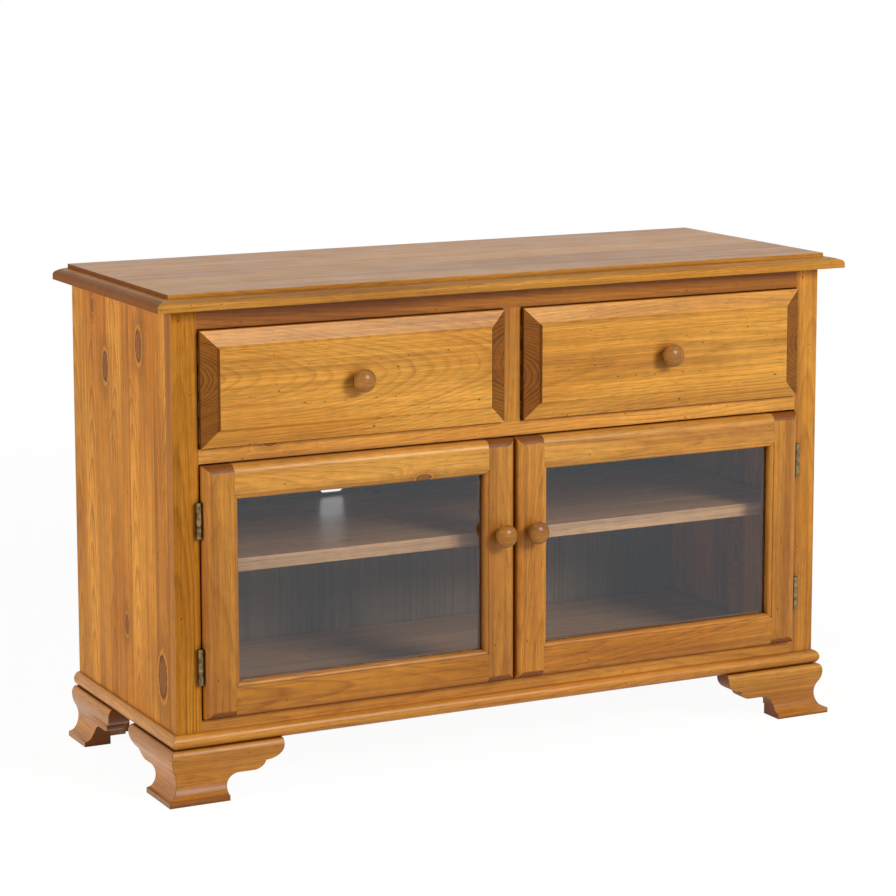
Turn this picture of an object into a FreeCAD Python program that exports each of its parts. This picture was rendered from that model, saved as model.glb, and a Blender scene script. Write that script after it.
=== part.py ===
import FreeCAD, Part
import math
import os

Vector = FreeCAD.Vector

# Carcass boards, in millimetres
CARCASS_WIDTH = 1000.0
CARCASS_DEPTH = 375.0
SIDE_THICKNESS = 18.0
BACK_THICKNESS = 6.0
BACK_REBATE = 9.0
FLOOR_THICKNESS = 18.0
DECK_THICKNESS = 15.0
HOUSING_DEPTH = 6.0

# Face frame
FRAME_THICKNESS = 22.0
STILE_WIDTH = 36.0
MUNTIN_WIDTH = 27.0
BOTTOM_RAIL_HEIGHT = 36.0
DOOR_OPENING_HEIGHT = 345.0
MIDDLE_RAIL_HEIGHT = 20.0
DRAWER_OPENING_HEIGHT = 158.0
TOP_RAIL_HEIGHT = 28.0
FRAME_TENON_THICKNESS = 8.0
FRAME_TENON_LENGTH = 22.0
FRAME_TENON_SHOULDER = 4.0
MUNTIN_TENON_LENGTH = 9.0
TENON_END_GAP = 0.5

# Top board and its moulded edge
TOP_THICKNESS = 20.5
TOP_OVERHANG = 28.0
TOP_MOULD_WIDTH = 22.5
TOP_MOULD_STEP = 5.5
TOP_SQUARE_EDGE = 6.0

# Shelf and its pegs
SHELF_HEIGHT = 205.0
SHELF_THICKNESS = 18.0
SHELF_SETBACK = 36.0
SHELF_CLEARANCE = 1.0
PEG_RADIUS = 3.0
PEG_REACH = 13.0
PEG_SOCKET = 10.0
PEG_INSET = 50.0
PEG_FIT = 0.05
PEG_SEAT_GAP = 0.1

# Cable cut-out in the back panel, set just above the shelf
CABLE_HOLE_OFFSET = 103.0
CABLE_HOLE_WIDTH = 40.0
CABLE_HOLE_HEIGHT = 45.0
CABLE_HOLE_CORNER = 8.0
CABLE_HOLE_RISE = 4.0

# Half-round base moulding
MOULDING_HEIGHT = 20.0
MOULDING_REACH = 9.0

# Ogee bracket feet: reach is measured outwards from the carcass face
FOOT_HEIGHT = 73.0
FOOT_INNER = 20.0
FOOT_FLARE = 18.5
FOOT_TOE = 7.0
FOOT_WAIST = 3.5
FOOT_WAIST_HEIGHT = 29.0
FOOT_BULGE = 12.5
FOOT_BULGE_DROP = 10.0
FOOT_TOP_REACH = 6.0
FOOT_BACK_THICKNESS = 18.0

# Scrolled outline of a foot bracket, from its leg to its tip
LEG_LENGTH = 67.5
ARCH_RADIUS = 19.0
ARCH_FLAT = 21.5
LOWER_LOBE_LENGTH = 16.5
LOWER_LOBE_RISE = 13.0
UPPER_LOBE_LENGTH = 25.0
UPPER_LOBE_RISE = 20.5
TIP_HEIGHT = 7.0

# Corner blocks glued behind the feet
BLOCK_SIZE = 30.0
BLOCK_LIFT = 6.0

# Drawer guides on the deck, and stop blocks behind the drawers
GUIDE_HEIGHT = 20.0
STOP_DEPTH = 15.0
STOP_HEIGHT = 20.0
STOP_CLEARANCE = 0.5

# Drawers
DRAWER_GAP = 1.5
DRAWER_PROUD = 16.5
DRAWER_FRONT_THICKNESS = 26.0
DRAWER_SQUARE_EDGE = 7.0
BEVEL_WIDTH = 21.0
FIELD_STEP = 3.0
FIELD_SLOPE = 3.0
DRAWER_SIDE_THICKNESS = 12.0
DRAWER_HEADROOM = 18.0
DRAWER_RUN_CLEARANCE = 0.3
DRAWER_BACK_THICKNESS = 12.0
DRAWER_BACK_DROP = 8.0
DRAWER_BACK_HOUSING = 4.0
DRAWER_BOTTOM_THICKNESS = 5.0
DRAWER_BOTTOM_LIFT = 10.0
DRAWER_GROOVE = 6.0
TAIL_COUNT = 4
TAIL_LENGTH = 10.0
TAIL_NECK = 17.0
TAIL_FLARE = 1.7

# Doors
DOOR_GAP = 2.0
DOOR_MEETING_GAP = 2.0
DOOR_THICKNESS = 24.0
DOOR_PROUD = 16.0
DOOR_ROUND = 12.0
DOOR_MEMBER_WIDTH = 48.0
DOOR_TOP_RAIL_WIDTH = 46.5
DOOR_TENON_LENGTH = 25.0
DOOR_TENON_THICKNESS = 8.0
DOOR_LIP = 12.0
BEAD_WIDTH = 6.0
BEAD_DEPTH = 6.0
BEAD_QUIRK = 1.2
GLASS_REBATE = 8.0
GLASS_THICKNESS = 4.0
GLASS_CLEARANCE = 0.8
DOOR_KNOB_HEIGHT = 210.0

# Turned knobs
KNOB_RADIUS = 16.0
KNOB_REACH = 28.0
KNOB_WIDEST = 17.0
KNOB_NECK_RADIUS = 6.5
KNOB_NECK_HEIGHT = 7.0
KNOB_BASE_RADIUS = 8.5
KNOB_BASE_EDGE = 1.5
KNOB_SPIGOT_RADIUS = 4.5
KNOB_SPIGOT_LENGTH = 14.0
KNOB_SPIGOT_FIT = 0.1
KNOB_CHORDS = 2

# Butt hinges
HINGE_HEIGHT = 48.0
HINGE_INSET = 72.0
HINGE_FORWARD = 4.5
HINGE_OUTWARD = 2.4
KNUCKLE_RADIUS = 4.0
KNUCKLE_CLEARANCE = 0.4
KNUCKLE_COUNT = 3
PIN_RADIUS = 2.2
PIN_FIT = 0.02
PIN_RUN = 0.05
PIN_RECESS = 2.0
LEAF_THICKNESS = 1.2
LEAF_REACH = 7.0

# Catches under the middle rail and strike plates on the doors
CATCH_WIDTH = 30.0
CATCH_HEIGHT = 13.0
CATCH_GAP = 0.5
STRIKE_WIDTH = 20.0
STRIKE_HEIGHT = 11.0
STRIKE_THICKNESS = 1.0

# Two radii closer than this count as one
EQUAL_RADII = 1e-6

# Planes that the pieces share: x to the right, y to the back, z up
HALF = CARCASS_WIDTH / 2
SIDE_IN = HALF - SIDE_THICKNESS
OPENING = HALF - STILE_WIDTH
FRONT_REACH = DRAWER_PROUD + KNOB_REACH
FRONT = (FRONT_REACH - CARCASS_DEPTH) / 2
FRAME_BACK = FRONT + FRAME_THICKNESS
BACK = FRONT + CARCASS_DEPTH
INSIDE_BACK = BACK - BACK_THICKNESS

Z_BASE = FOOT_HEIGHT
Z_FLOOR = Z_BASE + BOTTOM_RAIL_HEIGHT
Z_MIDDLE = Z_FLOOR + DOOR_OPENING_HEIGHT
Z_DECK = Z_MIDDLE + MIDDLE_RAIL_HEIGHT
Z_RAIL = Z_DECK + DRAWER_OPENING_HEIGHT
Z_TOP = Z_RAIL + TOP_RAIL_HEIGHT
SHELF_TOP = Z_FLOOR + SHELF_HEIGHT
SHELF_BOTTOM = SHELF_TOP - SHELF_THICKNESS

# Left drawer
DRAWER_LEFT = -OPENING + DRAWER_GAP
DRAWER_RIGHT = -MUNTIN_WIDTH / 2 - DRAWER_GAP
DRAWER_FACE = FRONT - DRAWER_PROUD
DRAWER_SHOULDER = DRAWER_FACE + DRAWER_FRONT_THICKNESS
DRAWER_END = INSIDE_BACK - STOP_DEPTH - STOP_CLEARANCE
DRAWER_LOW = Z_DECK + DRAWER_RUN_CLEARANCE
DRAWER_HIGH = Z_RAIL - DRAWER_HEADROOM

# Left door
DOOR_LEFT = -OPENING + DOOR_GAP
DOOR_RIGHT = -DOOR_MEETING_GAP / 2
DOOR_LOW = Z_FLOOR + DOOR_GAP
DOOR_HIGH = Z_MIDDLE - DOOR_GAP
DOOR_FACE = FRONT - DOOR_PROUD
DOOR_BACK = DOOR_FACE + DOOR_THICKNESS
SIGHT_LEFT = DOOR_LEFT + DOOR_MEMBER_WIDTH
SIGHT_RIGHT = DOOR_RIGHT - DOOR_MEMBER_WIDTH
SIGHT_LOW = DOOR_LOW + DOOR_MEMBER_WIDTH
SIGHT_HIGH = DOOR_HIGH - DOOR_TOP_RAIL_WIDTH
GLASS_FRONT = DOOR_FACE + DOOR_LIP
GLASS_BACK = GLASS_FRONT + GLASS_THICKNESS

# Hinge axis of the left door
PIN_X = -OPENING - HINGE_OUTWARD
PIN_Y = FRONT - HINGE_FORWARD

PIECES = {}


class Outline:
    """A closed outline drawn in two coordinates and laid in space by a placing function."""

    def __init__(self, place, a, b, chords=None):
        self.place = place
        self.chords = chords
        self.a = a
        self.b = b
        self.start = (a, b)
        self.edges = []

    def line(self, a, b):
        self.edges.append(Part.LineSegment(self.place(self.a, self.b), self.place(a, b)).toShape())
        self.a, self.b = a, b
        return self

    def arc(self, centre, a, b):
        """A circular arc of under a half turn about a centre, or short chords along it."""
        first = Vector(self.a - centre.x, self.b - centre.y, 0)
        last = Vector(a - centre.x, b - centre.y, 0)
        if self.chords:
            turn = math.atan2(first.cross(last).z, first.dot(last))
            for step in range(1, self.chords):
                angle = turn * step / self.chords
                side = Vector(-first.y, first.x, 0)
                point = centre + first * math.cos(angle) + side * math.sin(angle)
                self.line(point.x, point.y)
            return self.line(a, b)
        middle = first + last
        middle.normalize()
        middle = centre + middle * first.Length
        ends = self.place(self.a, self.b), self.place(middle.x, middle.y), self.place(a, b)
        self.edges.append(Part.Arc(*ends).toShape())
        self.a, self.b = a, b
        return self

    def oval(self, a, b, start_axis, end_axis):
        """A quarter of an oval: two arcs that meet smoothly, leaving and arriving along the two axes."""
        start = Vector(self.a, self.b, 0)
        end = Vector(a, b, 0)
        ahead = start_axis.dot(end - start)
        aside = end_axis.dot(end - start)
        p, q = abs(ahead), abs(aside)
        chord = (end - start).Length
        first_radius = chord * (chord + p - q) / (2 * q)
        last_radius = chord * (chord - p + q) / (2 * p)
        first_centre = start + end_axis * (first_radius * aside / q)
        last_centre = end - start_axis * (last_radius * ahead / p)
        if abs(first_radius - last_radius) < EQUAL_RADII:
            return self.arc(first_centre, a, b)
        outward = last_centre - first_centre
        outward.normalize()
        if first_radius < last_radius:
            outward = outward * -1
        joint = first_centre + outward * first_radius
        return self.arc(first_centre, joint.x, joint.y).arc(last_centre, a, b)

    def quarter_from_a(self, a, b):
        """A quarter oval that leaves along the first coordinate and arrives along the second."""
        return self.oval(a, b, Vector(1, 0, 0), Vector(0, 1, 0))

    def quarter_from_b(self, a, b):
        """A quarter oval that leaves along the second coordinate and arrives along the first."""
        return self.oval(a, b, Vector(0, 1, 0), Vector(1, 0, 0))

    def sway(self, a, b):
        """Two equal arcs in an S that leaves and arrives along the second coordinate."""
        across_way, up = a - self.a, b - self.b
        reach = (across_way ** 2 + up ** 2) / (4 * across_way)
        first_centre = Vector(self.a + reach, self.b, 0)
        last_centre = Vector(a - reach, b, 0)
        return self.arc(first_centre, self.a + across_way / 2, self.b + up / 2).arc(last_centre, a, b)

    def face(self):
        self.line(*self.start)
        return Part.Face(Part.Wire(self.edges))

    def prism(self, direction):
        return self.face().extrude(direction)


def across(y):
    """Outlines in x and z, standing at depth y."""
    return lambda x, z: Vector(x, y, z)


def along(x):
    """Outlines in y and z, standing at width x."""
    return lambda y, z: Vector(x, y, z)


def plan(z):
    """Outlines in x and y, lying at height z."""
    return lambda x, y: Vector(x, y, z)


def slab(x0, x1, y0, y1, z0, z1):
    return Part.makeBox(x1 - x0, y1 - y0, z1 - z0, Vector(x0, y0, z0))


def mirrored(shape):
    """The same piece on the other side of the cabinet's middle."""
    return shape.mirror(Vector(0, 0, 0), Vector(1, 0, 0))


def add(name, *shapes):
    PIECES[name] = [solid for shape in shapes for solid in shape.Solids]


def add_pair(left_name, right_name, *shapes):
    """A left piece, and its mirror image as the right piece."""
    add(left_name, *shapes)
    add(right_name, *[mirrored(shape) for shape in shapes])


def moulded_end(outline, outer, inward):
    """The top board's moulded edge, from its lower corner up to the flat top."""
    outline.line(outer, Z_TOP + TOP_SQUARE_EDGE)
    shoulder = Z_TOP + TOP_THICKNESS - TOP_MOULD_STEP
    outline.quarter_from_b(outer + inward * TOP_MOULD_WIDTH, shoulder)
    outline.line(outer + inward * TOP_MOULD_WIDTH, Z_TOP + TOP_THICKNESS)


def build_top_board():
    """The two profiles cross, so the mouldings meet in true mitres at the front corners."""
    end = HALF + TOP_OVERHANG
    nose = FRONT - TOP_OVERHANG
    wide = Outline(across(nose), -end, Z_TOP)
    wide.line(end, Z_TOP)
    moulded_end(wide, end, -1)
    wide.line(-end + TOP_MOULD_WIDTH, Z_TOP + TOP_THICKNESS)
    wide.line(-end + TOP_MOULD_WIDTH, Z_TOP + TOP_THICKNESS - TOP_MOULD_STEP)
    wide.quarter_from_a(-end, Z_TOP + TOP_SQUARE_EDGE)
    deep = Outline(along(-end), nose, Z_TOP)
    moulded_end(deep, nose, 1)
    deep.line(BACK, Z_TOP + TOP_THICKNESS)
    deep.line(BACK, Z_TOP)
    add("top_board", wide.prism(Vector(0, BACK - nose, 0)).common(deep.prism(Vector(2 * end, 0, 0))))


def frame_tenon(x0, x1, z0, z1):
    """A tenon in the middle of the face frame's thickness."""
    y0 = FRONT + (FRAME_THICKNESS - FRAME_TENON_THICKNESS) / 2
    return slab(x0, x1, y0, y0 + FRAME_TENON_THICKNESS, z0, z1)


def rail_tenon(low, high, end_gap):
    """The left tenon of a rail, or its mortise when it is given an end gap."""
    z0 = low + FRAME_TENON_SHOULDER
    z1 = high - FRAME_TENON_SHOULDER
    return frame_tenon(-OPENING - FRAME_TENON_LENGTH - end_gap, -OPENING, z0, z1)


def muntin_tenon(root, direction, end_gap):
    """The muntin's upper or lower tenon, or its mortise when it is given an end gap."""
    half_width = MUNTIN_WIDTH / 2 - FRAME_TENON_SHOULDER
    tip = root + direction * (MUNTIN_TENON_LENGTH + end_gap)
    return frame_tenon(-half_width, half_width, min(root, tip), max(root, tip))


def build_face_frame():
    rails = {
        "top_front_rail": (Z_RAIL, Z_TOP),
        "middle_front_rail": (Z_MIDDLE, Z_DECK),
        "bottom_front_rail": (Z_BASE, Z_FLOOR),
    }
    muntin_mortises = {"top_front_rail": (Z_RAIL, 1), "middle_front_rail": (Z_DECK, -1)}
    stile = slab(-HALF, -OPENING, FRONT, FRAME_BACK, Z_BASE, Z_TOP)
    for name, (low, high) in rails.items():
        tenon = rail_tenon(low, high, 0.0)
        rail = slab(-OPENING, OPENING, FRONT, FRAME_BACK, low, high).fuse([tenon, mirrored(tenon)])
        if name in muntin_mortises:
            root, direction = muntin_mortises[name]
            rail = rail.cut(muntin_tenon(root, direction, TENON_END_GAP))
        add(name, rail.removeSplitter())
        stile = stile.cut(rail_tenon(low, high, TENON_END_GAP))
    for low in hinge_heights():
        stile = stile.cut(slab(-OPENING - LEAF_THICKNESS, -OPENING, FRONT, FRONT + LEAF_REACH, low, low + HINGE_HEIGHT))
    add_pair("left_front_stile", "right_front_stile", stile)
    half_width = MUNTIN_WIDTH / 2
    muntin = slab(-half_width, half_width, FRONT, FRAME_BACK, Z_DECK, Z_RAIL)
    tenons = [muntin_tenon(Z_RAIL, 1, 0.0), muntin_tenon(Z_DECK, -1, 0.0)]
    add("drawer_muntin", muntin.fuse(tenons).removeSplitter())


def housed_board(thickness, top):
    """A board between the sides, let into their housings."""
    end = SIDE_IN + HOUSING_DEPTH
    return slab(-end, end, FRAME_BACK, INSIDE_BACK, top - thickness, top)


def shelf_pegs(radius, inner, outer):
    """The two left pegs, or their sockets, from one x to another."""
    height = SHELF_BOTTOM - PEG_RADIUS - PEG_SEAT_GAP
    depths = (FRONT + SHELF_SETBACK + PEG_INSET, INSIDE_BACK - PEG_INSET)
    return [Part.makeCylinder(radius, outer - inner, Vector(inner, y, height), Vector(1, 0, 0)) for y in depths]


def build_carcass():
    floor = housed_board(FLOOR_THICKNESS, Z_FLOOR)
    deck = housed_board(DECK_THICKNESS, Z_DECK)
    add("floor_board", floor)
    add("drawer_deck", deck)
    rebate_edge = SIDE_IN + BACK_REBATE
    side = slab(-HALF, -SIDE_IN, FRAME_BACK, BACK, Z_BASE, Z_TOP)
    side = side.cut(slab(-rebate_edge, -SIDE_IN, INSIDE_BACK, BACK, Z_BASE, Z_TOP))
    sockets = shelf_pegs(PEG_RADIUS + PEG_FIT, -SIDE_IN - PEG_SOCKET, -SIDE_IN)
    add_pair("left_side_panel", "right_side_panel", side.cut([floor, deck] + sockets))
    pegs = shelf_pegs(PEG_RADIUS, -SIDE_IN - PEG_SOCKET, -SIDE_IN + PEG_REACH)
    add("shelf_pegs", *pegs, *[mirrored(peg) for peg in pegs])
    shelf_end = SIDE_IN - SHELF_CLEARANCE
    shelf_back = INSIDE_BACK - SHELF_CLEARANCE
    add("shelf", slab(-shelf_end, shelf_end, FRONT + SHELF_SETBACK, shelf_back, SHELF_BOTTOM, SHELF_TOP))
    back = slab(-rebate_edge, rebate_edge, INSIDE_BACK, BACK, Z_BASE, Z_TOP)
    add("back_panel", back.cut(cable_hole()))


def cable_hole():
    """An upright slot with rounded corners."""
    left = -CABLE_HOLE_OFFSET - CABLE_HOLE_WIDTH / 2
    low = SHELF_TOP + CABLE_HOLE_RISE
    hole = slab(left, left + CABLE_HOLE_WIDTH, INSIDE_BACK, BACK, low, low + CABLE_HOLE_HEIGHT)
    corners = [edge for edge in hole.Edges if edge.Vertexes[0].X == edge.Vertexes[1].X
               and edge.Vertexes[0].Z == edge.Vertexes[1].Z]
    return hole.makeFillet(CABLE_HOLE_CORNER, corners)


def three_battens(low, high):
    """Battens from front to back at both sides and in the middle."""
    left = slab(-SIDE_IN, -OPENING, FRAME_BACK, INSIDE_BACK, low, high)
    middle = slab(-MUNTIN_WIDTH / 2, MUNTIN_WIDTH / 2, FRAME_BACK, INSIDE_BACK, low, high)
    return left, middle, mirrored(left)


def build_drawer_run():
    """Guides on the deck, cleats under the top and stops behind the drawer sides."""
    add("drawer_guides", *three_battens(Z_DECK, Z_DECK + GUIDE_HEIGHT))
    add("top_cleats", *three_battens(Z_RAIL, Z_TOP))
    stops = []
    for left in (DRAWER_LEFT, DRAWER_RIGHT - DRAWER_SIDE_THICKNESS):
        stops.append(slab(left, left + DRAWER_SIDE_THICKNESS, INSIDE_BACK - STOP_DEPTH, INSIDE_BACK,
                          Z_DECK, Z_DECK + STOP_HEIGHT))
    add("drawer_stops", *stops, *[mirrored(stop) for stop in stops])


def half_round(place):
    """The base moulding's section: a half ellipse on a flat back."""
    outline = Outline(place, 0.0, Z_BASE)
    outline.quarter_from_a(MOULDING_REACH, Z_BASE + MOULDING_HEIGHT / 2)
    outline.quarter_from_b(0.0, Z_BASE + MOULDING_HEIGHT)
    return outline


def build_base_moulding():
    """Three lengths planted round the carcass, mitred at the front corners."""
    reach = MOULDING_REACH
    up = Vector(0, 0, MOULDING_HEIGHT)
    front = half_round(lambda p, z: Vector(-HALF - reach, FRONT - p, z))
    front_plan = Outline(plan(Z_BASE), -HALF - reach, FRONT - reach)
    front_plan.line(HALF + reach, FRONT - reach).line(HALF, FRONT).line(-HALF, FRONT)
    add("base_moulding_front", front.prism(Vector(2 * (HALF + reach), 0, 0)).common(front_plan.prism(up)))
    side = half_round(lambda p, z: Vector(-HALF - p, FRONT - reach, z))
    side_plan = Outline(plan(Z_BASE), -HALF - reach, FRONT - reach)
    side_plan.line(-HALF, FRONT).line(-HALF, BACK).line(-HALF - reach, BACK)
    left = side.prism(Vector(0, CARCASS_DEPTH + reach, 0)).common(side_plan.prism(up))
    add_pair("base_moulding_left", "base_moulding_right", left)


def foot_section(x):
    """The ogee section of a foot: a toe, a drawn-in waist, a full bulge and a rounded top."""
    section = Outline(lambda p, z: Vector(x, FRONT - p, z), -FOOT_INNER, 0.0)
    section.line(FOOT_FLARE, 0.0)
    section.line(FOOT_FLARE, FOOT_TOE)
    section.quarter_from_a(FOOT_WAIST, FOOT_WAIST_HEIGHT)
    section.sway(FOOT_BULGE, Z_BASE - FOOT_BULGE_DROP)
    section.quarter_from_b(FOOT_TOP_REACH, Z_BASE)
    section.line(-FOOT_INNER, Z_BASE)
    return section


def bracket_length():
    return LEG_LENGTH + ARCH_RADIUS + ARCH_FLAT + LOWER_LOBE_LENGTH + UPPER_LOBE_LENGTH


def scroll(place, start):
    """The scrolled outline of a bracket: leg, arch, two lobes and tip, from the carcass corner."""
    arch_height = Z_BASE - TIP_HEIGHT - UPPER_LOBE_RISE - LOWER_LOBE_RISE
    arch_end = LEG_LENGTH + ARCH_RADIUS
    lobe_start = arch_end + ARCH_FLAT
    notch = lobe_start + LOWER_LOBE_LENGTH
    tip = notch + UPPER_LOBE_LENGTH
    outline = Outline(place, start, 0.0)
    outline.line(LEG_LENGTH, 0.0)
    outline.line(LEG_LENGTH, arch_height - ARCH_RADIUS)
    outline.quarter_from_b(arch_end, arch_height)
    outline.line(lobe_start, arch_height)
    outline.quarter_from_a(notch, arch_height + LOWER_LOBE_RISE)
    outline.quarter_from_a(tip, Z_BASE - TIP_HEIGHT)
    outline.line(tip, Z_BASE)
    outline.line(start, Z_BASE)
    return outline


def ogee_bracket(start, mitred):
    """A bracket at the left front corner, running to the right along the front."""
    length = bracket_length()
    outer = FRONT - FOOT_FLARE
    inner = FRONT + FOOT_INNER
    section = foot_section(-HALF + start).prism(Vector(length - start, 0, 0))
    side = scroll(lambda u, z: Vector(-HALF + u, outer, z), start).prism(Vector(0, inner - outer, 0))
    bracket = section.common(side)
    if mitred:
        corner = Outline(plan(0.0), -HALF - FOOT_FLARE, outer)
        corner.line(-HALF + length, outer).line(-HALF + length, inner).line(-HALF + FOOT_INNER, inner)
        bracket = bracket.common(corner.prism(Vector(0, 0, Z_BASE)))
    return bracket


def build_feet():
    """Mitred ogee brackets at the front, and an ogee side with a plain back bracket at the rear."""
    front_corner = Vector(-HALF, FRONT, 0)
    front_face = ogee_bracket(-FOOT_FLARE, True)
    add_pair("front_left_foot_face", "front_right_foot_face", front_face)
    add_pair("front_left_foot_side", "front_right_foot_side", front_face.mirror(front_corner, Vector(1, -1, 0)))
    rear_side = ogee_bracket(0.0, False)
    rear_side.rotate(front_corner, Vector(0, 0, 1), -90)
    rear_side.translate(Vector(0, CARCASS_DEPTH, 0))
    add_pair("rear_left_foot_side", "rear_right_foot_side", rear_side)
    back_inner = BACK - FOOT_BACK_THICKNESS
    rear_back = scroll(lambda u, z: Vector(-HALF + u, back_inner, z), FOOT_INNER)
    rear_back = rear_back.prism(Vector(0, FOOT_BACK_THICKNESS, 0))
    add_pair("rear_left_foot_back", "rear_right_foot_back", rear_back)
    left = -HALF + FOOT_INNER
    blocks = []
    for near in (FRONT + FOOT_INNER, back_inner - BLOCK_SIZE):
        blocks.append(slab(left, left + BLOCK_SIZE, near, near + BLOCK_SIZE, BLOCK_LIFT, Z_BASE))
    add("foot_corner_blocks", *blocks, *[mirrored(block) for block in blocks])


def knob(x, seat, z):
    """A turned knob on a front at depth seat, with a spigot that goes into it."""
    profile = Outline(lambda r, h: Vector(x + r, seat - h, z), 0.0, -KNOB_SPIGOT_LENGTH, KNOB_CHORDS)
    profile.line(KNOB_SPIGOT_RADIUS, -KNOB_SPIGOT_LENGTH)
    profile.line(KNOB_SPIGOT_RADIUS, 0.0)
    profile.line(KNOB_BASE_RADIUS, 0.0)
    profile.line(KNOB_BASE_RADIUS, KNOB_BASE_EDGE)
    profile.quarter_from_a(KNOB_NECK_RADIUS, KNOB_NECK_HEIGHT)
    profile.sway(KNOB_RADIUS, KNOB_WIDEST)
    profile.quarter_from_b(0.0, KNOB_REACH)
    return profile.face().revolve(Vector(x, seat, z), Vector(0, 1, 0), 360)


def knob_hole(x, seat, z):
    return Part.makeCylinder(KNOB_SPIGOT_RADIUS + KNOB_SPIGOT_FIT, KNOB_SPIGOT_LENGTH, Vector(x, seat, z),
                             Vector(0, 1, 0))


def fielded_end(outline, outer, inward):
    """A drawer front's bevel, from its square outer edge up to the raised field."""
    outline.line(outer, FRONT - DRAWER_SQUARE_EDGE)
    outline.line(outer + inward * BEVEL_WIDTH, DRAWER_FACE + FIELD_STEP)
    outline.line(outer + inward * (BEVEL_WIDTH + FIELD_SLOPE), DRAWER_FACE)


def fielded_profile(place, first, last):
    outline = Outline(place, first, DRAWER_SHOULDER)
    fielded_end(outline, first, 1)
    outline.line(last - BEVEL_WIDTH - FIELD_SLOPE, DRAWER_FACE)
    outline.line(last - BEVEL_WIDTH, DRAWER_FACE + FIELD_STEP)
    outline.line(last, FRONT - DRAWER_SQUARE_EDGE)
    outline.line(last, DRAWER_SHOULDER)
    return outline


def drawer_tails(left):
    """The dovetails at the front end of one drawer side."""
    pitch = (DRAWER_HIGH - DRAWER_LOW) / TAIL_COUNT
    tails = []
    for index in range(TAIL_COUNT):
        middle = DRAWER_LOW + (index + 0.5) * pitch
        narrow = TAIL_NECK / 2
        wide = narrow + TAIL_FLARE
        tail = Outline(along(left), DRAWER_SHOULDER, middle - narrow)
        tail.line(DRAWER_SHOULDER - TAIL_LENGTH, middle - wide)
        tail.line(DRAWER_SHOULDER - TAIL_LENGTH, middle + wide)
        tail.line(DRAWER_SHOULDER, middle + narrow)
        tails.append(tail.prism(Vector(DRAWER_SIDE_THICKNESS, 0, 0)))
    return tails


def build_drawers():
    low = Z_DECK + DRAWER_GAP
    high = Z_RAIL - DRAWER_GAP
    wide = fielded_profile(plan(low), DRAWER_LEFT, DRAWER_RIGHT).prism(Vector(0, 0, high - low))
    tall = fielded_profile(lambda z, y: Vector(DRAWER_LEFT, y, z), low, high)
    front = wide.common(tall.prism(Vector(DRAWER_RIGHT - DRAWER_LEFT, 0, 0)))
    inner_left = DRAWER_LEFT + DRAWER_SIDE_THICKNESS
    inner_right = DRAWER_RIGHT - DRAWER_SIDE_THICKNESS
    bottom_low = DRAWER_LOW + DRAWER_BOTTOM_LIFT
    bottom_high = bottom_low + DRAWER_BOTTOM_THICKNESS
    bottom = slab(inner_left - DRAWER_GROOVE, inner_right + DRAWER_GROOVE, DRAWER_SHOULDER - DRAWER_GROOVE,
                  DRAWER_END, bottom_low, bottom_high)
    back = slab(inner_left - DRAWER_BACK_HOUSING, inner_right + DRAWER_BACK_HOUSING,
                DRAWER_END - DRAWER_BACK_THICKNESS, DRAWER_END, bottom_high, DRAWER_HIGH - DRAWER_BACK_DROP)
    sides = []
    for left in (DRAWER_LEFT, inner_right):
        tails = drawer_tails(left)
        board = slab(left, left + DRAWER_SIDE_THICKNESS, DRAWER_SHOULDER, DRAWER_END, DRAWER_LOW, DRAWER_HIGH)
        sides.append(board.fuse(tails).removeSplitter().cut([bottom, back]))
        front = front.cut(tails)
    middle = (DRAWER_LEFT + DRAWER_RIGHT) / 2, DRAWER_FACE, (low + high) / 2
    front = front.cut([bottom, knob_hole(*middle)])
    add_pair("left_drawer_front", "right_drawer_front", front)
    add_pair("left_drawer_sides", "right_drawer_sides", *sides)
    add_pair("left_drawer_back", "right_drawer_back", back)
    add_pair("left_drawer_bottom", "right_drawer_bottom", bottom)
    add_pair("left_drawer_knob", "right_drawer_knob", knob(*middle))


def member_profile(place, outer, sight):
    """A door member's section: its outer corner rounded over, its inner one beaded."""
    inward = 1 if sight > outer else -1
    bead_root = sight - inward * BEAD_WIDTH
    quirk = DOOR_FACE + BEAD_QUIRK
    outline = Outline(place, outer, DOOR_BACK)
    outline.line(outer, DOOR_FACE + DOOR_ROUND)
    outline.quarter_from_b(outer + inward * DOOR_ROUND, DOOR_FACE)
    outline.line(bead_root, DOOR_FACE)
    outline.line(bead_root, quirk)
    outline.quarter_from_a(sight, quirk + BEAD_DEPTH)
    outline.line(sight, DOOR_BACK)
    return outline


def door_ends():
    """The door's whole height in section, with its top and bottom rounded over."""
    outline = Outline(along(DOOR_LEFT), DOOR_BACK, DOOR_LOW)
    outline.line(DOOR_FACE + DOOR_ROUND, DOOR_LOW)
    outline.quarter_from_a(DOOR_FACE, DOOR_LOW + DOOR_ROUND)
    outline.line(DOOR_FACE, DOOR_HIGH - DOOR_ROUND)
    outline.quarter_from_b(DOOR_FACE + DOOR_ROUND, DOOR_HIGH)
    outline.line(DOOR_BACK, DOOR_HIGH)
    return outline.prism(Vector(DOOR_RIGHT - DOOR_LEFT, 0, 0))


def door_stile(outer, sight):
    """A stile of full height, its bead mitred against the rails' beads."""
    root = sight - BEAD_WIDTH if sight > outer else sight + BEAD_WIDTH
    outline = Outline(across(DOOR_FACE), outer, DOOR_LOW)
    outline.line(root, DOOR_LOW)
    outline.line(root, SIGHT_LOW - BEAD_WIDTH)
    outline.line(sight, SIGHT_LOW)
    outline.line(sight, SIGHT_HIGH)
    outline.line(root, SIGHT_HIGH + BEAD_WIDTH)
    outline.line(root, DOOR_HIGH)
    outline.line(outer, DOOR_HIGH)
    region = outline.prism(Vector(0, DOOR_THICKNESS, 0))
    section = member_profile(plan(DOOR_LOW), outer, sight).prism(Vector(0, 0, DOOR_HIGH - DOOR_LOW))
    return section.common(region).common(door_ends())


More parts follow.
